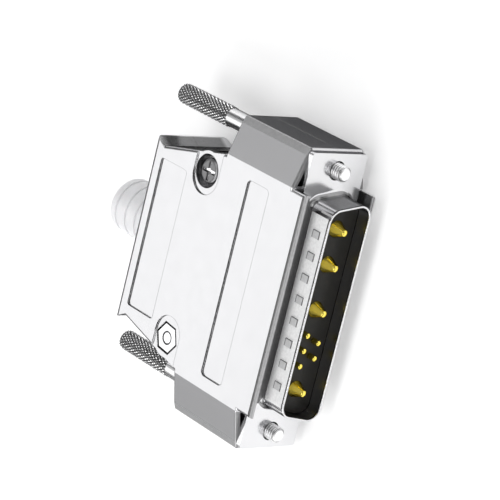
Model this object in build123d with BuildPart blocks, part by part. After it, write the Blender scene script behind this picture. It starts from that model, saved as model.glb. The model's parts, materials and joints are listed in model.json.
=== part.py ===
from build123d import *
import os
from math import radians, tan

# D-sub connector in a two-part die-cast hood.
# Millimetres. X runs along the long axis of the D, -Y is the mating direction, +Z is the
# narrow side of the D. The origin is the centre of the flange's front face.

# Standard D-sub shell
flange_height = 12.55
flange_corner = 0.6
sheet = 0.50
screw_spacing = 47.04
flange_end = 3.0
flange_hole_radius = 1.7
mouth_wall = 0.40
mouth_length = 38.96
mouth_height = 8.36
mouth_corner = 2.1
mouth_angle = 10
mouth_depth = 5.94
root_fillet = 1.0
rim_fillet = 0.12
rear_step_length = 1.17
rear_step_height = 1.37
rear_shell_depth = 6.0
rear_lip = 1.0

# Grounding dimples on the long sides of the front shell
dimple_count = 8
dimple_pitch = 3.87
dimple_length = 1.45
dimple_depth = 1.8
dimple_rise = 0.26
dimple_draft = 18
dimple_station = -3.6

# Insulator
insulator_face = -3.15
insulator_clearance = 0.08
insulator_split = 3.0
insulator_tail = 1.6
contact_clearance = 0.03

# Power contacts, from the +X end
power_end_distance = 5.08
power_pair_pitch = 6.3
power_tip = -5.65
power_tip_radius = 0.55
tip_cap_share = 0.4
power_radius = 1.48
power_collar_radius = 2.25
power_collar_length = 1.2
power_barrel_radius = 1.8
power_cup_radius = 2.1
power_cup_bore = 1.55
power_cup_depth = 3.6
power_tail = 13.0

# Signal contacts, two staggered rows
signal_pitch = 2.77
signal_row_gap = 2.84
signal_shift = 0.17
signal_tip = -4.7
signal_tip_radius = 0.47
signal_taper_length = 0.6
signal_radius = 0.51
signal_collar_radius = 0.9
signal_collar_length = 1.0
signal_barrel_radius = 0.7
signal_cup_radius = 0.92
signal_cup_bore = 0.62
signal_cup_depth = 2.4
signal_tail = 12.0
cup_shoulder = 0.6
cup_notch_share = 0.75

# Hood casting
hood_half_height = 8.1
hood_wall = 1.4
lip_overhang = 0.4
lip_front = -2.5
lip_wall = 0.85
lip_fillet = 0.65
lip_inset = 0.12
ear_overhang = 3.48
ear_shoulder_run = 1.3
ear_shoulder_drop = 0.6
ear_end_height = 5.9
ear_rear = 18.4
ear_rim = 0.9
ear_recess_depth = 2.0
ear_recess_inset = 0.3
neck_inset = 0.1
tail_half_width = 15.8
flare_width = 1.2
flare_run = 2.2
hood_rear = 37.4
edge_fillet = 0.6
ear_edge_fillet = 0.35
rear_fillet = 1.1
shell_clearance = 0.25
keeper_half_length = 14.0
keeper_height = 0.5
keeper_thickness = 0.8
keeper_gap = 0.1

# Recessed panels on the big faces
panel_depth = 0.3
front_panel_margin = 2.18
front_panel_front = 6.2
front_panel_rear = 11.9
front_panel_corner = 0.9
rear_panel_margin = 2.05
rear_panel_front = 27.45
rear_panel_setback = 2.6
rear_panel_corner = 0.6

# Hood screws and nuts
hood_screw_position = 15.4
hood_screw_station = 22.8
pad_shift_in = 0.7
pad_shift_forward = 0.2
pad_radius = 3.4
boss_wall = 0.6
counterbore_radius = 2.95
counterbore_depth = 2.4
screw_head_radius = 2.27
screw_head_height = 1.7
screw_head_round = 0.6
recess_width = 0.7
recess_length = 3.4
recess_depth = 0.5
hood_screw_radius = 1.2
hood_screw_hole_clearance = 0.15
nut_flats = 4.45
nut_thickness = 2.0
nut_sink = 0.08
nut_side_clearance = 0.35
nut_floor_gap = 0.05
nut_thread_clearance = 0.04
nut_turn = 23.3
screw_end_gap = 0.05
screw_point_radius = 0.95
screw_point_length = 0.6

# Jackscrews
thread_radius = 1.42
thread_tip = -2.2
thread_chamfer = 0.32
neck_radius = 1.7
knurl_radius = 1.95
neck_length = 9.6
knurl_length = 14.2
knurl_round = 0.8
shoulder_length = 0.5
groove_radius = 1.2
ring_radius = 2.4
ring_thickness = 0.6
ring_axial_clearance = 0.05
ring_bore_clearance = 0.05
ring_opening = 1.9
jackscrew_travel = 5.6
ring_stop_gap = 0.3
chamber_radius = 2.9
ear_rear_wall = 1.5
neck_clearance = 0.1
thread_bore_clearance = 0.25
post_radius = 2.7

# Cable boot
boot_length = 11.9
boot_root_radius = 5.45
boot_end_radius = 5.0
boot_bore_radius = 2.8
boot_flange_size = 12.8
boot_flange_thickness = 1.6
boot_clearance = 0.12
boot_rear_wall = 1.5
boot_groove_first = 0.95
boot_groove_pitch = 2.97
boot_groove_count = 4
boot_groove_width = 0.5
boot_groove_depth = 0.45
boot_end_fillet = 0.7
boot_rib_wall = 1.4
cable_hole_clearance = 1.8

# Tolerance for picking edges by place, and the overlap of raised details with their base
near = 0.01
overlap = 0.05

# Derived stations and sizes
screw_x = screw_spacing / 2
flange_length = screw_spacing + 2 * flange_end
rear_shell_length = mouth_length + 2 * rear_step_length
rear_shell_height = mouth_height + 2 * rear_step_height
lip_half_length = mouth_length / 2 + lip_overhang
slope_start = lip_half_length + lip_inset
ear_end = screw_x + ear_overhang
slope_break = ear_end - ear_shoulder_run
slope_break_height = ear_end_height + ear_shoulder_drop
ear_recess_inner = slope_start + ear_recess_inset
neck_half_width = slope_start - neck_inset
tail_station = hood_rear - flare_run
flare_half_width = tail_half_width + flare_width
front_panel_half_length = lip_half_length - front_panel_margin
rear_panel_half_length = tail_half_width - rear_panel_margin
rear_panel_rear = hood_rear - rear_panel_setback
pad_position = hood_screw_position - pad_shift_in
pad_station = hood_screw_station - pad_shift_forward
boss_radius = counterbore_radius + boss_wall
knurl_start = ear_rear + neck_length
jackscrew_rear = knurl_start + knurl_length
boot_rear = hood_rear + boot_length
cable_hole_radius = boot_bore_radius + cable_hole_clearance
stack_rear = 2 * sheet
ledge = stack_rear
ear_recess_rear = ledge + ear_recess_depth
chamber_rear = ear_rear - ear_rear_wall
ring_rear = chamber_rear - ring_stop_gap
ring_front = ring_rear - ring_thickness
chamber_front = ring_front - jackscrew_travel - shoulder_length - ring_stop_gap
groove_front = ring_front - ring_axial_clearance
groove_rear = ring_rear + ring_axial_clearance
shoulder_front = groove_front - shoulder_length
boot_flange_rear = hood_rear - boot_rear_wall - boot_clearance
boot_flange_front = boot_flange_rear - boot_flange_thickness
boot_pocket_front = boot_flange_front - boot_clearance
cavity_rear = boot_pocket_front - boot_rib_wall
counterbore_floor = hood_half_height - counterbore_depth
nut_outer_face = hood_half_height - panel_depth - nut_sink
nut_pocket_floor = nut_outer_face - nut_thickness - nut_floor_gap
shell_outer_length = mouth_length + 2 * mouth_wall
shell_outer_height = mouth_height + 2 * mouth_wall
rear_inner_length = rear_shell_length - 2 * sheet
rear_inner_height = rear_shell_height - 2 * sheet
rear_shell_back = stack_rear + rear_shell_depth

os.makedirs("parts", exist_ok=True)


def station(y):
    """The section plane across the connector, y behind the flange's front face."""
    return Plane.XZ.offset(-y)


def d_profile(length, height, corner):
    """A D outline in a section plane: wide side at the bottom, ends leaning in."""
    half_top = length / 2 - height * tan(radians(mouth_angle))
    with BuildSketch() as profile:
        with BuildLine():
            Polyline(
                (-length / 2, -height / 2),
                (length / 2, -height / 2),
                (half_top, height / 2),
                (-half_top, height / 2),
                close=True,
            )
        make_face()
        fillet(profile.vertices(), corner)
    return profile.sketch


def mirrored_plan(points):
    """A closed outline that is the same on both sides of the Y axis."""
    with BuildSketch() as plan:
        with BuildLine():
            Polyline(*points, *[(-x, y) for x, y in reversed(points)], close=True)
        make_face()
    return plan.sketch


def ear_section(inset):
    """The hood's section through its ears above the parting plane, inset by a wall."""
    with BuildSketch() as section:
        with BuildLine():
            Polyline(
                (-ear_end + inset, 0),
                (ear_end - inset, 0),
                (ear_end - inset, ear_end_height - inset),
                (slope_break - inset / 2, slope_break_height - inset),
                (slope_start, hood_half_height - inset),
                (-slope_start, hood_half_height - inset),
                (-slope_break + inset / 2, slope_break_height - inset),
                (-ear_end + inset, ear_end_height - inset),
                close=True,
            )
        make_face()
    return section.sketch


# Front shell: drawn steel sheet, flange and D-shaped wall in one piece
mouth_outer = d_profile(shell_outer_length, shell_outer_height, mouth_corner + mouth_wall)
mouth_inner = d_profile(mouth_length, mouth_height, mouth_corner)

with BuildPart() as front_shell:
    with BuildSketch(station(0)):
        RectangleRounded(flange_length, flange_height, flange_corner)
    extrude(amount=-sheet)
    with BuildSketch(station(0)):
        add(mouth_outer)
    extrude(amount=mouth_depth)
    root_edges = front_shell.edges(Select.LAST).filter_by_position(Axis.Y, -near, near)
    fillet(root_edges, root_fillet)
    with BuildSketch(station(sheet)):
        add(mouth_inner)
    extrude(amount=mouth_depth + sheet, mode=Mode.SUBTRACT)
    rim_edges = front_shell.edges().filter_by_position(Axis.Y, -mouth_depth, -mouth_depth)
    fillet(rim_edges, rim_fillet)
    with BuildSketch(station(0)):
        with Locations((-screw_x, 0), (screw_x, 0)):
            Circle(flange_hole_radius)
    extrude(amount=-sheet, mode=Mode.SUBTRACT)
    for side in (1, -1):
        side_plane = Plane(
            origin=(0, dimple_station, side * (shell_outer_height / 2 - overlap)),
            x_dir=(1, 0, 0),
            z_dir=(0, 0, side),
        )
        with BuildSketch(side_plane):
            with GridLocations(dimple_pitch, 1, dimple_count, 1):
                Rectangle(dimple_length, dimple_depth)
        extrude(amount=dimple_rise + overlap, taper=dimple_draft)
front_shell.part.label = "front_shell"
export_step(front_shell.part, "parts/front_shell.step")

# Rear shell: drawn steel sheet behind the flange, its back edge turned in
rear_outer = d_profile(rear_shell_length, rear_shell_height, mouth_corner + sheet)
rear_inner = d_profile(rear_inner_length, rear_inner_height, mouth_corner)
rear_opening = d_profile(rear_inner_length - 2 * rear_lip, rear_inner_height - 2 * rear_lip, mouth_corner)

with BuildPart() as rear_shell:
    with BuildSketch(station(sheet)):
        RectangleRounded(flange_length, flange_height, flange_corner)
    extrude(amount=-sheet)
    with BuildSketch(station(stack_rear)):
        add(rear_outer)
    extrude(amount=-rear_shell_depth)
    with BuildSketch(station(sheet)):
        add(rear_inner)
    extrude(amount=-(stack_rear - sheet + rear_shell_depth - sheet), mode=Mode.SUBTRACT)
    with BuildSketch(station(sheet)):
        add(rear_opening)
        with Locations((-screw_x, 0), (screw_x, 0)):
            Circle(flange_hole_radius)
    extrude(amount=-(stack_rear + rear_shell_depth), mode=Mode.SUBTRACT)
rear_shell.part.label = "rear_shell"
export_step(rear_shell.part, "parts/rear_shell.step")

# Contact places in the section plane
power_end = mouth_length / 2 - power_end_distance
power_positions = (power_end, power_end - power_pair_pitch, 0, -power_end)
signal_centre = signal_shift - power_end / 2
signal_upper = [(signal_centre + i * signal_pitch, signal_row_gap / 2) for i in (1, 0, -1)]
signal_lower = [(signal_centre + i * signal_pitch, -signal_row_gap / 2) for i in (0.5, -0.5)]
signal_places = signal_upper + signal_lower
power_places = [(x, 0) for x in power_positions]

# Front insulator: the black face inside the mouth, with a step behind the flange
gap = 2 * insulator_clearance
insulator_nose = d_profile(mouth_length - gap, mouth_height - gap, mouth_corner)
insulator_body = d_profile(rear_inner_length - gap, rear_inner_height - gap, mouth_corner)
insulator_back = d_profile(
    rear_inner_length - 2 * rear_lip - gap, rear_inner_height - 2 * rear_lip - gap, mouth_corner
)
body_front = sheet + insulator_clearance
body_rear = rear_shell_back - sheet - insulator_clearance
collar_seat = insulator_split

with BuildPart() as front_insulator:
    with BuildSketch(station(insulator_face)):
        add(insulator_nose)
    extrude(amount=-(body_front - insulator_face))
    with BuildSketch(station(body_front)):
        add(insulator_body)
    extrude(amount=-(insulator_split - body_front))
    with BuildSketch(station(insulator_face)):
        with Locations(*power_places):
            Circle(power_radius + contact_clearance)
        with Locations(*signal_places):
            Circle(signal_radius + contact_clearance)
    extrude(amount=-(insulator_split - insulator_face), mode=Mode.SUBTRACT)
front_insulator.part.label = "front_insulator"
export_step(front_insulator.part, "parts/front_insulator.step")

# Rear insulator: holds the contacts' collars against the front one
insulator_end = rear_shell_back + insulator_tail

with BuildPart() as rear_insulator:
    with BuildSketch(station(insulator_split)):
        add(insulator_body)
    extrude(amount=-(body_rear - insulator_split))
    with BuildSketch(station(body_rear)):
        add(insulator_back)
    extrude(amount=-(insulator_end - body_rear))
    with BuildSketch(station(insulator_split)):
        with Locations(*power_places):
            Circle(power_barrel_radius + contact_clearance)
        with Locations(*signal_places):
            Circle(signal_barrel_radius + contact_clearance)
    extrude(amount=-(insulator_end - insulator_split), mode=Mode.SUBTRACT)
    with BuildSketch(station(insulator_split)):
        with Locations(*power_places):
            Circle(power_collar_radius + contact_clearance)
    extrude(amount=-(power_collar_length + contact_clearance), mode=Mode.SUBTRACT)
    with BuildSketch(station(insulator_split)):
        with Locations(*signal_places):
            Circle(signal_collar_radius + contact_clearance)
    extrude(amount=-(signal_collar_length + contact_clearance), mode=Mode.SUBTRACT)
rear_insulator.part.label = "rear_insulator"
export_step(rear_insulator.part, "parts/rear_insulator.step")


def turned_contact(place, tip, tip_radius, taper_end, radii, lengths):
    """A turned contact: rounded tip, pin, collar, barrel and a solder cup open at its side."""
    x, z = place
    pin, collar, barrel, cup, bore = radii
    collar_length, cup_depth, tail = lengths
    collar_back = collar_seat + collar_length
    cup_front = tail - cup_depth - cup_shoulder
    tip_cap = tip_cap_share * tip_radius
    tip_sphere = (tip_radius**2 + tip_cap**2) / (2 * tip_cap)
    with BuildPart() as contact:
        with BuildSketch(Plane.XY):
            with BuildLine():
                Polyline(
                    (0, tip),
                    (0, tail),
                    (cup, tail),
                    (cup, cup_front),
                    (barrel, cup_front),
                    (barrel, collar_back),
                    (collar, collar_back),
                    (collar, collar_seat),
                    (pin, collar_seat),
                    (pin, taper_end),
                    (tip_radius, tip + tip_cap),
                )
                RadiusArc((tip_radius, tip + tip_cap), (0, tip), tip_sphere)
            make_face()
        revolve(axis=Axis.Y)
        with BuildSketch(station(tail)):
            Circle(bore)
        extrude(amount=cup_depth, mode=Mode.SUBTRACT)
        with BuildSketch(station(tail)):
            with Locations((0, cup)):
                Rectangle(2 * bore, 2 * cup)
        extrude(amount=cup_notch_share * cup_depth, mode=Mode.SUBTRACT)
    return contact.part.moved(Location((x, 0, z)))


power_radii = (power_radius, power_collar_radius, power_barrel_radius, power_cup_radius, power_cup_bore)
power_lengths = (power_collar_length, power_cup_depth, power_tail)
signal_radii = (
    signal_radius,
    signal_collar_radius,
    signal_barrel_radius,
    signal_cup_radius,
    signal_cup_bore,
)
signal_lengths = (signal_collar_length, signal_cup_depth, signal_tail)
signal_taper_end = signal_tip + signal_taper_length

for number, place in enumerate(power_places, start=1):
    power_pin = turned_contact(
        place, power_tip, power_tip_radius, insulator_face, power_radii, power_lengths
    )
    power_pin.label = f"power_pin_{number}"
    export_step(power_pin, f"parts/power_pin_{number}.step")

for number, place in enumerate(signal_places, start=1):
    signal_pin = turned_contact(
        place, signal_tip, signal_tip_radius, signal_taper_end, signal_radii, signal_lengths
    )
    signal_pin.label = f"signal_pin_{number}"
    export_step(signal_pin, f"parts/signal_pin_{number}.step")

# Hood: two equal castings, the lower one turned half round about Y
ear_outer = ear_section(0)
ear_inner = ear_section(ear_rim)
lip_inner = hood_half_height - lip_wall
neck_slope = (neck_half_width - tail_half_width) / (tail_station - ear_rear)
cavity_rear_half_width = neck_half_width - neck_slope * (cavity_rear - ear_rear) - hood_wall
rear_plan = mirrored_plan(
    [
        (neck_half_width, ear_rear - hood_wall),
        (neck_half_width, ear_rear),
        (tail_half_width, tail_station),
        (flare_half_width, hood_rear),
    ]
)
cavity_plan = mirrored_plan(
    [
        (slope_start - hood_wall, ear_recess_rear),
        (neck_half_width - hood_wall, ear_rear),
        (cavity_rear_half_width, cavity_rear),
    ]
)
screw_place = (hood_screw_position, hood_screw_station)
nut_place = (-hood_screw_position, hood_screw_station)
seat_half_length = rear_shell_length / 2 + shell_clearance
seat_half_height = rear_shell_height / 2 + shell_clearance
keeper_inner = flange_height / 2 - keeper_height
keeper_front = -keeper_gap - keeper_thickness
boot_pocket_half = boot_flange_size / 2 + boot_clearance
front_panel_centre = (front_panel_front + front_panel_rear) / 2
front_panel_width = front_panel_rear - front_panel_front
rear_panel_centre = (rear_panel_front + rear_panel_rear) / 2
rear_panel_width = rear_panel_rear - rear_panel_front
hood_face = Plane.XY.offset(hood_half_height)
jackscrew_places = [(-screw_x, 0), (screw_x, 0)]

# Rear part of the casting, narrowing to the cable end
with BuildPart() as hood_tail:
    with BuildSketch(Plane.XY):
        add(rear_plan)
    extrude(amount=hood_half_height)
    top_edges = hood_tail.edges().filter_by_position(Axis.Z, hood_half_height, hood_half_height)
    fillet(top_edges.filter_by(lambda e: ear_rear < e.center().Y < tail_station), edge_fillet)
    rear_edges = hood_tail.edges().filter_by_position(Axis.Y, hood_rear, hood_rear)
    fillet(rear_edges.filter_by(lambda e: e.center().Z > hood_half_height - near), rear_fillet)

# Lip in front of the flange
with BuildPart() as hood_lip:
    with BuildSketch(Plane.XY.offset(lip_inner)):
        with Locations((0, (lip_front + ear_recess_rear) / 2)):
            Rectangle(2 * lip_half_length, ear_recess_rear - lip_front)
    extrude(amount=lip_wall)
    lip_edges = hood_lip.edges().filter_by_position(Axis.Z, hood_half_height, hood_half_height)
    fillet(lip_edges.filter_by(lambda e: e.center().Y < ear_recess_rear - near), lip_fillet)

with BuildPart() as hood_upper:
    # Ears and middle
    with BuildSketch(station(ledge)):
        add(ear_outer)
    extrude(amount=-(ear_rear - ledge))
    front_edges = hood_upper.edges().filter_by_position(Axis.Y, ledge, ledge)
    fillet(front_edges.filter_by(lambda e: e.center().Z > near), ear_edge_fillet)
    end_edges = hood_upper.edges().filter_by(Axis.Y)
    fillet(end_edges.filter_by(lambda e: abs(e.center().Z - ear_end_height) < near), ear_edge_fillet)
    add(hood_tail.part)
    add(hood_lip.part)
    # Seat for the shell's body
    with BuildSketch(Plane.XY):
        with Locations((0, (lip_front + insulator_end) / 2)):
            Rectangle(2 * seat_half_length, insulator_end - lip_front)
    extrude(amount=seat_half_height, mode=Mode.SUBTRACT)
    # Wiring space
    with BuildSketch(Plane.XY):
        add(cavity_plan)
    extrude(amount=hood_half_height - hood_wall, mode=Mode.SUBTRACT)
    # Recess behind the flange in each ear
    with BuildSketch(station(ledge)):
        add(ear_inner)
        Rectangle(2 * ear_recess_inner, 2 * hood_half_height, mode=Mode.SUBTRACT)
    extrude(amount=-ear_recess_depth, mode=Mode.SUBTRACT)
    # Posts that carry the flange around the jackscrews
    with BuildSketch(station(ledge)):
        with Locations(*jackscrew_places):
            Circle(post_radius)
        with Locations((0, -hood_half_height)):
            Rectangle(2 * ear_end, 2 * hood_half_height, mode=Mode.SUBTRACT)
        Rectangle(2 * ear_recess_inner, 2 * hood_half_height, mode=Mode.SUBTRACT)
    extrude(amount=-(ear_recess_depth + hood_wall))
    # Bosses for the hood screws
    with BuildSketch(Plane.XY):
        with Locations(screw_place, nut_place):
            Circle(boss_radius)
    extrude(amount=hood_half_height - panel_depth)
    # Keepers that stop the flange from coming forward
    with BuildSketch(Plane.XY.offset(keeper_inner)):
        with Locations((0, (keeper_front - keeper_gap) / 2)):
            Rectangle(2 * keeper_half_length, keeper_thickness)
    extrude(amount=hood_half_height - lip_wall / 2 - keeper_inner)
    # Jackscrew channels
    with BuildSketch(station(ledge)):
        with Locations(*jackscrew_places):
            Circle(thread_radius + thread_bore_clearance)
    extrude(amount=-(chamber_front - ledge), mode=Mode.SUBTRACT)
    with BuildSketch(station(chamber_front)):
        with Locations(*jackscrew_places):
            Circle(chamber_radius)
    extrude(amount=-(chamber_rear - chamber_front), mode=Mode.SUBTRACT)
    with BuildSketch(station(chamber_rear)):
        with Locations(*jackscrew_places):
            Circle(neck_radius + neck_clearance)
    extrude(amount=-ear_rear_wall, mode=Mode.SUBTRACT)
    # Cable opening: rib hole, pocket for the boot's flange, rear hole
    with BuildSketch(station(cavity_rear)):
        Circle(cable_hole_radius)
    extrude(amount=-boot_rib_wall, mode=Mode.SUBTRACT)
    with BuildSketch(station(boot_pocket_front)):
        Rectangle(2 * boot_pocket_half, 2 * boot_pocket_half)
    extrude(amount=-(hood_rear - boot_rear_wall - boot_pocket_front), mode=Mode.SUBTRACT)
    with BuildSketch(station(hood_rear)):
        Circle(boot_root_radius + boot_clearance)
    extrude(amount=boot_rear_wall, mode=Mode.SUBTRACT)
    # Recessed panels on the face
    with BuildSketch(hood_face):
        with Locations((0, front_panel_centre)):
            RectangleRounded(2 * front_panel_half_length, front_panel_width, front_panel_corner)
        with Locations((0, rear_panel_centre)):
            RectangleRounded(2 * rear_panel_half_length, rear_panel_width, rear_panel_corner)
    extrude(amount=-panel_depth, mode=Mode.SUBTRACT)
    # Pads around the screw and the nut, open to the hood's sides
    with BuildSketch(hood_face):
        with Locations((pad_position, pad_station), (-pad_position, pad_station)):
            Circle(pad_radius)
        with Locations(((pad_position + slope_start) / 2, pad_station)):
            Rectangle(slope_start - pad_position, 2 * pad_radius)
        with Locations((-(pad_position + slope_start) / 2, pad_station)):
            Rectangle(slope_start - pad_position, 2 * pad_radius)
    extrude(amount=-panel_depth, mode=Mode.SUBTRACT)
    # Screw holes, counterbore and nut pocket
    with BuildSketch(hood_face):
        with Locations(screw_place, nut_place):
            Circle(hood_screw_radius + hood_screw_hole_clearance)
    extrude(amount=-hood_half_height, mode=Mode.SUBTRACT)
    with BuildSketch(hood_face):
        with Locations(screw_place):
            Circle(counterbore_radius)
    extrude(amount=-counterbore_depth, mode=Mode.SUBTRACT)
    with BuildSketch(hood_face):
        with Locations(nut_place):
            RegularPolygon(nut_flats / 2 + nut_side_clearance, 6, False, nut_turn)
    extrude(amount=-(hood_half_height - nut_pocket_floor), mode=Mode.SUBTRACT)
hood_upper.part.label = "hood_upper"
export_step(hood_upper.part, "parts/hood_upper.step")

with BuildPart() as hood_lower:
    add(hood_upper.part.rotate(Axis.Y, 180))
hood_lower.part.label = "hood_lower"
export_step(hood_lower.part, "parts/hood_lower.step")

# Hood screws: pan heads with a cross recess, one from each side
head_top = counterbore_floor + screw_head_height
screw_end = -(nut_outer_face - screw_end_gap)

with BuildPart() as hood_screw_right:
    with BuildSketch(Plane.XY.offset(counterbore_floor)):
        with Locations(screw_place):
            Circle(screw_head_radius)
    extrude(amount=screw_head_height)
    head_edges = hood_screw_right.edges().filter_by_position(Axis.Z, head_top, head_top)
    fillet(head_edges, screw_head_round)
    with BuildSketch(Plane.XY.offset(screw_end + screw_point_length)):
        with Locations(screw_place):
            Circle(hood_screw_radius)
    extrude(amount=counterbore_floor - screw_end - screw_point_length)
    with BuildSketch(Plane.XY.offset(screw_end)):
        with Locations(screw_place):
            Circle(screw_point_radius)
    extrude(amount=screw_point_length)
    with BuildSketch(Plane.XY.offset(head_top)):
        with Locations(screw_place):
            Rectangle(recess_length, recess_width)
            Rectangle(recess_width, recess_length)
    extrude(amount=-recess_depth, mode=Mode.SUBTRACT)
hood_screw_right.part.label = "hood_screw_right"
export_step(hood_screw_right.part, "parts/hood_screw_right.step")

with BuildPart() as hood_screw_left:
    add(hood_screw_right.part.rotate(Axis.Y, 180))
hood_screw_left.part.label = "hood_screw_left"
export_step(hood_screw_left.part, "parts/hood_screw_left.step")

# Hood nuts in their pockets
with BuildPart() as hood_nut_left:
    with BuildSketch(Plane.XY.offset(nut_outer_face)):
        with Locations(nut_place):
            RegularPolygon(nut_flats / 2, 6, False, nut_turn)
            Circle(hood_screw_radius + nut_thread_clearance, mode=Mode.SUBTRACT)
    extrude(amount=-nut_thickness)
hood_nut_left.part.label = "hood_nut_left"
export_step(hood_nut_left.part, "parts/hood_nut_left.step")

with BuildPart() as hood_nut_right:
    add(hood_nut_left.part.rotate(Axis.Y, 180))
hood_nut_right.part.label = "hood_nut_right"
export_step(hood_nut_right.part, "parts/hood_nut_right.step")

# Jackscrews: threaded shank, groove for the retaining ring, neck and knurled grip
with BuildPart() as jackscrew:
    with BuildSketch(Plane.XY):
        with BuildLine():
            Polyline(
                (0, thread_tip),
                (thread_radius - thread_chamfer, thread_tip),
                (thread_radius, thread_tip + thread_chamfer),
                (thread_radius, shoulder_front),
                (neck_radius, shoulder_front + shoulder_length / 2),
                (neck_radius, groove_front),
                (groove_radius, groove_front),
                (groove_radius, groove_rear),
                (neck_radius, groove_rear),
                (neck_radius, knurl_start),
                (knurl_radius, knurl_start),
                (knurl_radius, jackscrew_rear),
                (0, jackscrew_rear),
                close=True,
            )
        make_face()
    revolve(axis=Axis.Y)
    grip_edges = jackscrew.edges().filter_by_position(Axis.Y, jackscrew_rear, jackscrew_rear)
    fillet(grip_edges, knurl_round)

# Retaining rings: open rings that ride in the jackscrews' grooves
with BuildPart() as retaining_ring:
    with BuildSketch(station(ring_front)):
        Circle(ring_radius)
        Circle(groove_radius + ring_bore_clearance, mode=Mode.SUBTRACT)
        with Locations((0, -ring_radius / 2)):
            Rectangle(ring_opening, ring_radius, mode=Mode.SUBTRACT)
    extrude(amount=-ring_thickness)

for side, x in (("left", -screw_x), ("right", screw_x)):
    placed_jackscrew = jackscrew.part.moved(Location((x, 0, 0)))
    placed_jackscrew.label = f"jackscrew_{side}"
    export_step(placed_jackscrew, f"parts/jackscrew_{side}.step")
    placed_ring = retaining_ring.part.moved(Location((x, 0, 0)))
    placed_ring.label = f"jackscrew_ring_{side}"
    export_step(placed_ring, f"parts/jackscrew_ring_{side}.step")

# Cable boot: square flange held in the hood, tapered tube with grooves for bending
boot_taper = (boot_root_radius - boot_end_radius) / (boot_rear - hood_rear)

with BuildPart() as cable_boot:
    with BuildSketch(station(boot_flange_front)):
        Rectangle(boot_flange_size, boot_flange_size)
    extrude(amount=-boot_flange_thickness)
    with BuildSketch(Plane.XY):
        with BuildLine():
            Polyline(
                (0, boot_flange_front),
                (boot_root_radius, boot_flange_front),
                (boot_root_radius, hood_rear),
                (boot_end_radius, boot_rear),
                (0, boot_rear),
                close=True,
            )
        make_face()
    revolve(axis=Axis.Y)
    boot_end_edges = cable_boot.edges().filter_by_position(Axis.Y, boot_rear, boot_rear)
    fillet(boot_end_edges, boot_end_fillet)
    for i in range(boot_groove_count):
        groove_station = hood_rear + boot_groove_first + i * boot_groove_pitch
        groove_floor = boot_root_radius - boot_taper * (groove_station - hood_rear) - boot_groove_depth
        with BuildSketch(station(groove_station - boot_groove_width / 2)):
            Circle(boot_root_radius + boot_groove_width)
            Circle(groove_floor, mode=Mode.SUBTRACT)
        extrude(amount=-boot_groove_width, mode=Mode.SUBTRACT)
    with BuildSketch(station(boot_flange_front)):
        Circle(boot_bore_radius)
    extrude(amount=-(boot_rear - boot_flange_front), mode=Mode.SUBTRACT)
cable_boot.part.label = "cable_boot"
export_step(cable_boot.part, "parts/cable_boot.step")
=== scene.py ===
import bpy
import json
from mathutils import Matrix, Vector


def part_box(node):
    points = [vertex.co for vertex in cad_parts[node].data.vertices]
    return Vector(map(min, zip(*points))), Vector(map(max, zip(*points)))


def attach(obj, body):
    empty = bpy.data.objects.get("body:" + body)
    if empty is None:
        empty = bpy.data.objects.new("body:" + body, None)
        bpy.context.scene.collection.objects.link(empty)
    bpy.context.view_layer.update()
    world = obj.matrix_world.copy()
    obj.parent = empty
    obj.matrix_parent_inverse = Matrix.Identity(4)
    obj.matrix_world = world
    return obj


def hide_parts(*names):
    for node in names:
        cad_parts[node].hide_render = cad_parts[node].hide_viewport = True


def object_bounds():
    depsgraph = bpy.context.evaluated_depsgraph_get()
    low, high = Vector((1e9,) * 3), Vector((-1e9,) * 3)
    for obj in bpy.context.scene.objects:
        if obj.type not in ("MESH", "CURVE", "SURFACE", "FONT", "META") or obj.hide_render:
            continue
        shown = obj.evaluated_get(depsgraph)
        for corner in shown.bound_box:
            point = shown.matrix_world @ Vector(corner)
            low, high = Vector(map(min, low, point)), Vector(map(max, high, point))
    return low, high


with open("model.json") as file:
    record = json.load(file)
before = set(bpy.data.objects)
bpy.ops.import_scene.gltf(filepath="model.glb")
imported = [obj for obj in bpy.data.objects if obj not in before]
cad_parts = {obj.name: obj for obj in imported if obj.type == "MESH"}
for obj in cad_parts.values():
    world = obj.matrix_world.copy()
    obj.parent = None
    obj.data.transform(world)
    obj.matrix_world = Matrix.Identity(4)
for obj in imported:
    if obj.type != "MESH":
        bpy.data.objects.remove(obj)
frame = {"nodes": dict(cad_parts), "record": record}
cad_box = [list(corner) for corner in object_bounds()]

import json
import math

import bpy
from mathutils import Matrix, Vector

MM = 0.001

# Camera
CAMERA_PLACE = (0.12445, -0.30804, 0.30443)
CAMERA_RIGHT = (0.23252186, -0.61855116, -0.75055183)
CAMERA_AWAY = (-0.26247787, 0.70316052, -0.6608106)
FOCAL_LENGTH_PX = 2673.389
PICTURE_WIDTH_PX = 500
SENSOR_WIDTH_MM = 36.0
NEAREST_SEEN = 0.01
FARTHEST_SEEN = 20


def make_camera():
    right = Vector(CAMERA_RIGHT).normalized()
    away = Vector(CAMERA_AWAY).normalized()
    down = away.cross(right).normalized()
    data = bpy.data.cameras.new("camera")
    data.sensor_width = SENSOR_WIDTH_MM
    data.sensor_fit = "HORIZONTAL"
    data.lens = FOCAL_LENGTH_PX / PICTURE_WIDTH_PX * SENSOR_WIDTH_MM
    data.clip_start = NEAREST_SEEN
    data.clip_end = FARTHEST_SEEN
    camera = bpy.data.objects.new("camera", data)
    bpy.context.scene.collection.objects.link(camera)
    matrix = Matrix((right, -down, -away)).transposed().to_4x4()
    matrix.translation = Vector(CAMERA_PLACE)
    camera.matrix_world = matrix
    bpy.context.scene.camera = camera


make_camera()


# Node helpers
def new_material(name):
    material = bpy.data.materials.new(name)
    material.use_nodes = True
    tree = material.node_tree
    shader = tree.nodes["Principled BSDF"]
    return material, tree, shader


def add_node(tree, kind, **values):
    node = tree.nodes.new(kind)
    for key, value in values.items():
        setattr(node, key, value)
    return node


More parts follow.
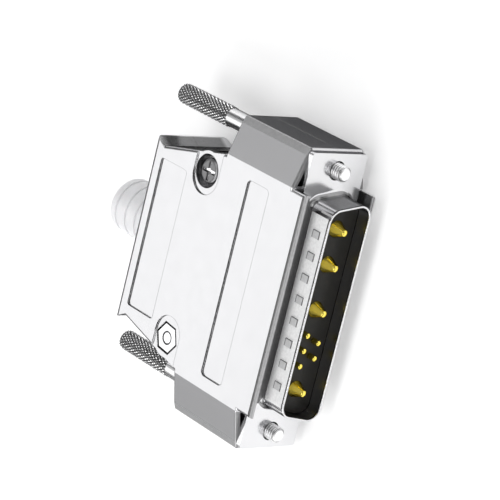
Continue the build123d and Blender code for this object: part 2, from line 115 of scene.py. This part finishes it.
def object_coords(tree, scale=1 / MM):
    """Object coordinates, in millimetres unless another scale is given."""
    coords = add_node(tree, "ShaderNodeTexCoord")
    mapping = add_node(tree, "ShaderNodeMapping")
    mapping.inputs["Scale"].default_value = (scale, scale, scale)
    tree.links.new(coords.outputs["Object"], mapping.inputs["Vector"])
    return mapping.outputs["Vector"]


def noise(tree, vector, scale, detail=3.0):
    node = add_node(tree, "ShaderNodeTexNoise")
    node.inputs["Scale"].default_value = scale
    node.inputs["Detail"].default_value = detail
    node.inputs["Roughness"].default_value = 0.55
    tree.links.new(vector, node.inputs["Vector"])
    return node.outputs["Fac"]


def map_range(tree, value, low, high, from_low=0.3, from_high=0.7):
    """Maps from_low..from_high to low..high. The usual range is the middle of a noise."""
    node = add_node(tree, "ShaderNodeMapRange")
    node.inputs["From Min"].default_value = from_low
    node.inputs["From Max"].default_value = from_high
    node.inputs["To Min"].default_value = low
    node.inputs["To Max"].default_value = high
    tree.links.new(value, node.inputs["Value"])
    return node.outputs["Result"]


def calculate(tree, operation, first, second=None):
    """A sum on one or two values; each is a socket or a plain number."""
    node = add_node(tree, "ShaderNodeMath", operation=operation)
    for place, value in enumerate((first, second)):
        if isinstance(value, (int, float)):
            node.inputs[place].default_value = value
        elif value is not None:
            tree.links.new(value, node.inputs[place])
    return node.outputs["Value"]


def mix_color(tree, factor, first, second):
    """A mix of two colours; each is a socket or a plain colour."""
    node = add_node(tree, "ShaderNodeMix", data_type="RGBA")
    tree.links.new(factor, node.inputs["Factor"])
    for key, value in (("A", first), ("B", second)):
        if isinstance(value, tuple):
            node.inputs[key].default_value = value
        else:
            tree.links.new(value, node.inputs[key])
    return node.outputs["Result"]


def uneven_color(tree, clouds, dark, light):
    """Drifts between two plain colours with a noise."""
    return mix_color(tree, map_range(tree, clouds, 0.0, 1.0), dark + (1,), light + (1,))


def darker(color, share):
    return tuple(share * c for c in color)


def bump(tree, height, distance, strength=1.0, normal=None):
    node = add_node(tree, "ShaderNodeBump")
    node.inputs["Distance"].default_value = distance
    node.inputs["Strength"].default_value = strength
    tree.links.new(height, node.inputs["Height"])
    if normal is not None:
        tree.links.new(normal, node.inputs["Normal"])
    return node.outputs["Normal"]


def within(tree, value, low, high, soft=0.02):
    """1 between low and high, 0 outside, with soft ends."""
    rise = map_range(tree, value, 0.0, 1.0, low - soft, low)
    fall = map_range(tree, value, 1.0, 0.0, high, high + soft)
    return calculate(tree, "MULTIPLY", rise, fall)


# Metals
CLOUD_SCALE = 0.35
CLOUD_DETAIL = 4.0
CLOUD_DARKENING = 0.985
CLOUD_DULLING = 1.06
PATCH_DARKENING = 0.85
BEVEL_SAMPLES = 6

jackscrew_low, jackscrew_high = [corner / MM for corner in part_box("jackscrew_right")]
screw_axis = (jackscrew_low[0] + jackscrew_high[0]) / 2
grip_mm = (jackscrew_high[0] - jackscrew_low[0]) / 2


def measures_of(tree, vector):
    """Y, Z, |X|, |Z| and the distance from the nearer jackscrew's axis, in millimetres."""
    parts = add_node(tree, "ShaderNodeSeparateXYZ")
    tree.links.new(vector, parts.inputs["Vector"])
    x, y, z = (parts.outputs[letter] for letter in "XYZ")
    wide = calculate(tree, "ABSOLUTE", x)
    high = calculate(tree, "ABSOLUTE", z)
    off_axis = calculate(tree, "SUBTRACT", wide, screw_axis)
    squares = calculate(tree, "ADD", calculate(tree, "MULTIPLY", off_axis, off_axis),
                        calculate(tree, "MULTIPLY", z, z))
    radius = calculate(tree, "SQRT", squares)
    return {"y": y, "z": z, "wide": wide, "high": high, "radius": radius}


def covered(tree, measures, place):
    """1 inside a place and 0 outside it."""
    share = None
    for key, span in place.items():
        part = within(tree, measures[key], *span)
        share = part if share is None else calculate(tree, "MULTIPLY", share, part)
    return share


def metal(name, color, rough, edge, edge_radius, grain=2.2, grain_height=0.0004 * MM, patches=()):
    """Plated metal: a little uneven in tone and gloss, softened edges, darker towards grazing.
    Each patch gives a place its own colour, roughness and share of metal; most patches paint shade into
    the colour, one paints light, and two only make the finish satin."""
    material, tree, shader = new_material(name)
    vector = object_coords(tree)
    clouds = noise(tree, vector, CLOUD_SCALE, CLOUD_DETAIL)
    fine = noise(tree, vector, grain)
    tone = uneven_color(tree, clouds, darker(color, CLOUD_DARKENING), color)
    gloss = map_range(tree, clouds, rough * CLOUD_DULLING, rough)
    metallic = None
    measures = measures_of(tree, vector)
    for patch_color, patch_rough, patch_metallic, place in patches:
        share = covered(tree, measures, place)
        patch_tone = uneven_color(tree, fine, darker(patch_color, PATCH_DARKENING), patch_color)
        tone = mix_color(tree, share, tone, patch_tone)
        rest = calculate(tree, "MULTIPLY", gloss, calculate(tree, "SUBTRACT", 1.0, share))
        gloss = calculate(tree, "ADD", rest, calculate(tree, "MULTIPLY", share, patch_rough))
        if patch_metallic < 1:
            kept = map_range(tree, share, 1.0, patch_metallic, 0.0, 1.0)
            metallic = kept if metallic is None else calculate(tree, "MULTIPLY", metallic, kept)
    shader.inputs["Metallic"].default_value = 1.0
    if metallic is not None:
        tree.links.new(metallic, shader.inputs["Metallic"])
    shader.inputs["Specular Tint"].default_value = edge + (1,)
    tree.links.new(tone, shader.inputs["Base Color"])
    tree.links.new(gloss, shader.inputs["Roughness"])
    rounded = add_node(tree, "ShaderNodeBevel", samples=BEVEL_SAMPLES)
    rounded.inputs["Radius"].default_value = edge_radius
    normal = bump(tree, fine, grain_height, 1.0, rounded.outputs["Normal"])
    tree.links.new(normal, shader.inputs["Normal"])
    return material


# Places on the metals, in millimetres. A third number makes the ends of a span softer. Most are places
# where shade is painted into the colour.
NO_START = -1
NO_END = 99
# Painted shade on the hood: dark in its recess walls between these heights, and darker behind and on
# its lip, on its ear shoulders, ear front rims and tail sides
PAINTED_SHADE_WALL_HEIGHTS = (7.83, 8.07)
painted_shade_behind_lip = {"y": (-2.3, 1.0), "wide": (NO_START, 19.8), "high": (5.0, 7.3)}
painted_shade_lip_front = {"y": (-2.6, -2.26), "wide": (NO_START, 19.95), "high": (7.2, 8.09)}
painted_dark_line_lip = {"y": (-2.22, -1.9), "wide": (NO_START, 19.6), "high": (7.8, 8.2)}
painted_shade_ear_shoulder = {"wide": (25.72, 27.1), "high": (5.75, 6.49), "y": (1.3, 18.5)}
painted_shade_ear_front_rim = {"wide": (20.1, 27.1), "high": (5.7, 8.0), "y": (0.9, 1.28)}
painted_shade_tail_sides = {"y": (18.6, 37.2), "wide": (14.9, 21), "high": (NO_START, 6.1, 0.9)}
painted_shade_front_panel_walls = {"y": (6.1, 12.0), "wide": (NO_START, 17.8), "high": PAINTED_SHADE_WALL_HEIGHTS}
painted_shade_rear_panel_walls = {"y": (27.35, 34.9), "wide": (NO_START, 13.85), "high": PAINTED_SHADE_WALL_HEIGHTS}
painted_shade_screw_pad_walls = {"y": (19.0, 26.1), "wide": (11.0, 15.1), "high": PAINTED_SHADE_WALL_HEIGHTS}
# Painted shade on the shell: its dimple flanks and rears, root, root bend, rim and end walls; its
# dimple tops and long walls are only satin
painted_shade_dimple_flanks = {"y": (-5.0, -1.5), "high": (4.61, 4.8)}
dimple_tops = {"y": (-5.0, -1.5), "high": (4.825, NO_END)}
painted_shade_dimple_rears = {"y": (-2.96, -1.5), "high": (4.8, NO_END)}
painted_shade_shell_root = {"y": (-1.1, 0.2), "wide": (NO_START, 18.2), "high": (4.5, NO_END)}
painted_shade_root_bend = {"y": (-1.0, -0.08), "high": (NO_START, 4.49)}
painted_dark_line_rim = {"y": (-5.83, -5.55)}
painted_shade_end_walls = {"y": (-5.55, -0.4), "wide": (18.4, NO_END), "high": (NO_START, 4.48)}
shell_long_walls = {"y": (-5.5, -1.3), "high": (4.5, 4.6)}
# Painted light on the shell's upper inside wall, for the pins to reflect
painted_light_upper_inside = {"y": (-5.85, -3.1), "z": (3.2, 4.3), "wide": (NO_START, 17.6)}
# Painted shade on the faces of the screw heads, and in the grooves of the threads and knurl
painted_shade_head_face = {"high": (6.96, 7.5)}
painted_shade_thread_grooves = {"radius": (0.5, grip_mm - 0.72), "y": (-2.0, NO_END)}
painted_shade_knurl_grooves = {"radius": (0.5, grip_mm - 0.18), "y": (0, jackscrew_high[1] - 0.3)}

grey_edge = (0.02, 0.02, 0.022)

# The hood is dull and painted with shade behind its lip and on its lip front, has a painted dark line
# on its lip, painted shade on its ear shoulders, ear front rims and tail sides, and dark painted shade
# in the walls of its recesses
hood_metal = metal("hood_metal", (0.675, 0.675, 0.685), 0.2, (0.01, 0.01, 0.012), 0.13 * MM, patches=[
    ((0.24, 0.24, 0.243), 0.4, 1.0, painted_shade_behind_lip),
    ((0.50, 0.50, 0.505), 0.3, 1.0, painted_shade_lip_front),
    ((0.10, 0.10, 0.10), 0.3, 1.0, painted_dark_line_lip),
    ((0.50, 0.50, 0.505), 0.3, 0.4, painted_shade_ear_shoulder),
    ((0.32, 0.32, 0.323), 0.3, 1.0, painted_shade_ear_front_rim),
    ((0.31, 0.31, 0.313), 0.2, 1.0, painted_shade_tail_sides),
    ((0.06, 0.06, 0.06), 0.5, 1.0, painted_shade_front_panel_walls),
    ((0.06, 0.06, 0.06), 0.5, 1.0, painted_shade_rear_panel_walls),
    ((0.06, 0.06, 0.06), 0.5, 1.0, painted_shade_screw_pad_walls)])

# The shell's long walls and dimple tops are satin; shade is painted on its dimple flanks and rears,
# root, root bend and end walls and in a dark line at its rim, and light is painted on its upper inside
# wall for the pins to reflect
shell_metal = metal("shell_metal", (0.79, 0.79, 0.80), 0.15, (0.05, 0.05, 0.055), 0.08 * MM, patches=[
    ((0.20, 0.20, 0.205), 0.25, 1.0, painted_shade_dimple_flanks),
    ((0.26, 0.26, 0.263), 0.4, 0.3, painted_shade_shell_root),
    ((0.34, 0.34, 0.343), 0.25, 1.0, painted_shade_root_bend),
    ((0.13, 0.13, 0.13), 0.3, 1.0, painted_dark_line_rim),
    ((0.72, 0.72, 0.725), 0.35, 0.2, dimple_tops),
    ((0.25, 0.25, 0.253), 0.35, 0.5, painted_shade_dimple_rears),
    ((0.50, 0.50, 0.505), 0.3, 1.0, painted_shade_end_walls),
    ((0.99, 0.99, 0.99), 0.45, 0.1, shell_long_walls),
    ((0.99, 0.99, 0.99), 0.2, 0.5, painted_light_upper_inside)])

# The faces of the hood screws' heads are dull with painted shade round their bright recess, and shade
# is painted into the grooves of the threads and knurl
screw_metal = metal("screw_metal", (0.84, 0.84, 0.85), 0.15, grey_edge, 0.03 * MM)
head_metal = metal("head_metal", (0.88, 0.88, 0.89), 0.15, grey_edge, 0.05 * MM, grain=5.0,
                   grain_height=0.004 * MM, patches=[((0.30, 0.30, 0.305), 0.36, 1.0, painted_shade_head_face)])
thread_metal = metal("thread_metal", (0.97, 0.97, 0.975), 0.3, grey_edge, 0.02 * MM,
                     patches=[((0.07, 0.07, 0.07), 0.5, 1.0, painted_shade_thread_grooves)])
knurl_metal = metal("knurl_metal", (0.86, 0.86, 0.865), 0.2, grey_edge, 0.02 * MM,
                    patches=[((0.15, 0.15, 0.15), 0.5, 1.0, painted_shade_knurl_grooves)])
neck_metal = metal("neck_metal", (0.84, 0.84, 0.845), 0.22, grey_edge, 0.03 * MM)
gold = metal("gold", (1.0, 0.83, 0.16), 0.10, (0.55, 0.38, 0.02), 0.05 * MM)


# Plastics
def plastic(name, cloud_scale, fine_scale, dark, light, smooth, dull, grain_height, grain_strength):
    """Moulded plastic, a little uneven in tone and gloss, with a fine grain."""
    material, tree, shader = new_material(name)
    vector = object_coords(tree)
    clouds = noise(tree, vector, cloud_scale)
    fine = noise(tree, vector, fine_scale, 2.0)
    tree.links.new(uneven_color(tree, clouds, dark, light), shader.inputs["Base Color"])
    tree.links.new(map_range(tree, fine, smooth, dull), shader.inputs["Roughness"])
    tree.links.new(bump(tree, fine, grain_height, grain_strength), shader.inputs["Normal"])
    return material, shader


insulator_black, shader = plastic("insulator_black", 0.6, 9.0, (0.006, 0.0055, 0.004),
                                  (0.010, 0.009, 0.006), 0.34, 0.46, 0.004 * MM, 0.6)
shader.inputs["Specular IOR Level"].default_value = 0.3

# The boot is milky, so light goes a little way into it
boot_plastic, shader = plastic("boot_plastic", 0.5, 7.0, (0.84, 0.84, 0.855),
                               (0.89, 0.89, 0.90), 0.32, 0.42, 0.005 * MM, 0.5)
shader.inputs["Subsurface Weight"].default_value = 0.5
shader.inputs["Subsurface Radius"].default_value = (1.0, 0.95, 0.95)
shader.inputs["Subsurface Scale"].default_value = 1.2 * MM

finish_of = {
    "hood": hood_metal,
    "shell": shell_metal,
    "screw": screw_metal,
    "contact": gold,
    "insulator": insulator_black,
    "boot": boot_plastic,
}
slot_of = {row["node"]: row["material_slot"] for row in frame["record"]["subparts"]}
for name, node in frame["nodes"].items():
    node.data.materials.clear()
    node.data.materials.append(finish_of[slot_of[name]])
for name in ("hood_screw_left", "hood_screw_right"):
    frame["nodes"][name].data.materials[0] = head_metal

# Jackscrews, in millimetres
THREAD_PITCH = 0.52
THREAD_DEPTH = 0.3
THREAD_CREST = 0.35
THREAD_STEPS = 12
THREAD_SIDES = 96
THREAD_END = 9.5
THREAD_BELOW_GRIP = 0.53
TIP_CHAMFER = 0.42
KNURL_STARTS = 20
KNURL_LEAD = 1.06
KNURL_DEPTH = 0.28
KNURL_STEPS = 8
KNURL_LENGTH = 14.2
KNURL_CHAMFER = 0.2
GRIP_ROUND = 0.8
NECK_BELOW_GRIP = 0.25
NECK_SIDES = 96
GROOVE_BELOW_GRIP = 0.75
RING_PLAY = 0.05
SHOULDER_LENGTH = 0.5
FINE_STEP = 0.05
SHARP_ANGLE = math.radians(35)


def spread(first, last, step):
    """Evenly spaced stations from first to last, about a step apart."""
    count = max(1, round((last - first) / step))
    return [first + (last - first) * i / count for i in range(count + 1)]


def lathe(name, stations, sides, radius_at, centre_x):
    """A closed body along Y, in millimetres, whose radius may change round its axis."""
    vertices = []
    faces = []
    for y in stations:
        for j in range(sides):
            angle = 2 * math.pi * j / sides
            r = radius_at(y, angle)
            vertices.append((centre_x + r * math.cos(angle), y, r * math.sin(angle)))
    for i in range(len(stations) - 1):
        for j in range(sides):
            a = i * sides + j
            b = i * sides + (j + 1) % sides
            faces.append((a, a + sides, b + sides, b))
    faces.append(tuple(range(sides)))
    last = (len(stations) - 1) * sides
    faces.append(tuple(reversed(range(last, last + sides))))
    mesh = bpy.data.meshes.new(name)
    mesh.from_pydata([tuple(c * MM for c in v) for v in vertices], [], faces)
    mesh.update()
    mesh.validate()
    mesh.shade_smooth()
    mesh.set_sharp_from_angle(angle=SHARP_ANGLE)
    piece = bpy.data.objects.new(name, mesh)
    bpy.context.scene.collection.objects.link(piece)
    return piece


def ridge(u):
    """A groove's profile: 0 in the middle of a tooth, 1 at the bottom between two teeth."""
    return abs(2 * (u % 1.0) - 1)


def make_jackscrew(side):
    """Threaded shank, smooth neck and knurled grip of one jackscrew."""
    node = "jackscrew_" + side
    low, high = [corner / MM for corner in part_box(node)]
    ring_low, ring_high = [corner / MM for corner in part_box("jackscrew_ring_" + side)]
    centre_x = (low[0] + high[0]) / 2
    grip_radius = (high[0] - low[0]) / 2
    tip = low[1]
    end = high[1]
    knurl_start = end - KNURL_LENGTH
    thread_radius = grip_radius - THREAD_BELOW_GRIP
    neck_radius = grip_radius - NECK_BELOW_GRIP
    groove_radius = grip_radius - GROOVE_BELOW_GRIP
    groove_front = ring_low[1] - RING_PLAY
    groove_rear = ring_high[1] + RING_PLAY
    shoulder_front = groove_front - SHOULDER_LENGTH

    def thread_radius_at(y, angle):
        turn = (y - tip) / THREAD_PITCH + angle / (2 * math.pi)
        cut = max(0.0, (ridge(turn) - THREAD_CREST) / (1 - THREAD_CREST))
        return min(thread_radius - THREAD_DEPTH * cut, thread_radius - TIP_CHAMFER + (y - tip))

    def neck_radius_at(y, angle):
        if groove_front < y < groove_rear:
            return groove_radius
        return neck_radius if y > shoulder_front else thread_radius

    def knurl_radius_at(y, angle):
        around = KNURL_STARTS * angle / (2 * math.pi)
        along = (y - knurl_start) / KNURL_LEAD
        groove = max(ridge(around + along), ridge(around - along))
        past = max(0.0, y - (end - GRIP_ROUND))
        dome = math.sqrt(max(0.0, GRIP_ROUND ** 2 - past ** 2)) - GRIP_ROUND
        start_cut = min(0.0, y - knurl_start - KNURL_CHAMFER)
        fade = 1 + dome / (2 * GRIP_ROUND)
        return grip_radius + dome + start_cut - KNURL_DEPTH * groove * fade

    thread_stations = spread(tip, THREAD_END, THREAD_PITCH / THREAD_STEPS)
    neck_stations = [THREAD_END - FINE_STEP, shoulder_front, shoulder_front + SHOULDER_LENGTH / 2,
                     groove_front, groove_front + FINE_STEP, groove_rear - FINE_STEP, groove_rear,
                     knurl_start + KNURL_CHAMFER]
    knurl_stations = spread(knurl_start, end - FINE_STEP, KNURL_LEAD / KNURL_STEPS)
    for name, stations, sides, radius_at, finish in (
            ("_thread", thread_stations, THREAD_SIDES, thread_radius_at, thread_metal),
            ("_neck", neck_stations, NECK_SIDES, neck_radius_at, neck_metal),
            ("_knurl", knurl_stations, KNURL_STARTS * KNURL_STEPS, knurl_radius_at, knurl_metal)):
        piece = lathe(node + name, stations, sides, radius_at, centre_x)
        piece.data.materials.append(finish)
        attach(piece, node)
        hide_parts(node)


for side in ("left", "right"):
    make_jackscrew(side)

# Floor and light, in metres
FLOOR_HALF_WIDTH = 1.6
FLOOR_GAP = 0.02 * MM
FLOOR_LIFT = 0.26
FLOOR_DARK = (0.90, 0.90, 0.90)
FLOOR_LIGHT = (0.92, 0.92, 0.92)
FLOOR_CLOUDS_PER_METRE = 10.0
WORLD_COLOR = (0.125, 0.125, 0.128, 1)
LAMP_POWER = 4
LAMPS = (
    # Name, direction from the object, distance, width, height, brightness, and the width's direction
    ("softbox_back", (-0.27, 0.70, 0.62), 0.9, 0.60, 0.34, 0.69, (0.92, 0, 0.40)),
    ("softbox_wide", (-0.24, 0.70, 0.60), 1.0, 1.70, 0.36, 0.385, (0.92, 0, 0.30)),
    ("softbox_over", (-0.22, -0.16, 1.0), 0.9, 0.70, 0.46, 2.4, (1, 0, 0)),
    ("softbox_left", (-0.9, -0.15, 0.5), 1.0, 0.9, 0.7, 2.2, None),
    ("softbox_right", (0.9, -0.45, 0.5), 1.0, 0.8, 0.6, 0.6, None),
    ("softbox_front", (-0.28, -0.87, 0.46), 1.0, 0.9, 0.50, 0.9, None),
    ("softbox_near", (0.58, 0.02, 0.81), 0.9, 0.44, 0.50, 1.7, None),
    ("softbox_horizon", (0.64, 0.70, 0.1), 1.1, 0.5, 0.5, 0.9, None),
)


def make_floor():
    """A pale floor that the camera and bright metal see lifted to white, and that keeps its shadow."""
    half = FLOOR_HALF_WIDTH
    z = cad_box[0][2] - FLOOR_GAP
    mesh = bpy.data.meshes.new("floor")
    mesh.from_pydata([(-half, -half, z), (half, -half, z), (half, half, z), (-half, half, z)], [],
                     [(0, 1, 2, 3)])
    floor = bpy.data.objects.new("floor", mesh)
    bpy.context.scene.collection.objects.link(floor)
    material, tree, shader = new_material("floor_white")
    clouds = noise(tree, object_coords(tree, FLOOR_CLOUDS_PER_METRE), 1.0, 2.0)
    tone = uneven_color(tree, clouds, FLOOR_DARK, FLOOR_LIGHT)
    tree.links.new(tone, shader.inputs["Base Color"])
    shader.inputs["Roughness"].default_value = 0.9
    shader.inputs["Specular IOR Level"].default_value = 0.0
    rays = add_node(tree, "ShaderNodeLightPath")
    seen = calculate(tree, "MAXIMUM", rays.outputs["Is Camera Ray"], rays.outputs["Is Glossy Ray"])
    seen = calculate(tree, "MAXIMUM", seen, rays.outputs["Is Transmission Ray"])
    lift = map_range(tree, seen, 0.0, FLOOR_LIFT, 0.0, 1.0)
    shader.inputs["Emission Color"].default_value = (1, 1, 1, 1)
    tree.links.new(lift, shader.inputs["Emission Strength"])
    floor.data.materials.append(material)


def area_lamp(name, direction, distance, width, height, brightness, sideways):
    """A soft box seen from the object in this direction, with an even brightness."""
    data = bpy.data.lights.new(name, "AREA")
    data.shape = "RECTANGLE"
    data.size = width
    data.size_y = height
    data.energy = brightness * LAMP_POWER * width * height
    lamp = bpy.data.objects.new(name, data)
    bpy.context.scene.collection.objects.link(lamp)
    back = Vector(direction).normalized()
    side = Vector(sideways) if sideways else Vector((0, 0, 1)).cross(back)
    top = back.cross(side).normalized()
    side = top.cross(back).normalized()
    matrix = Matrix((side, top, back)).transposed().to_4x4()
    matrix.translation = back * distance
    lamp.matrix_world = matrix


make_floor()
for lamp in LAMPS:
    area_lamp(*lamp)

world = bpy.data.worlds.new("studio")
world.use_nodes = True
world.node_tree.nodes["Background"].inputs["Color"].default_value = WORLD_COLOR
world.node_tree.nodes["Background"].inputs["Strength"].default_value = 1.0
bpy.context.scene.world = world
bpy.context.scene.view_settings.view_transform = "Standard"
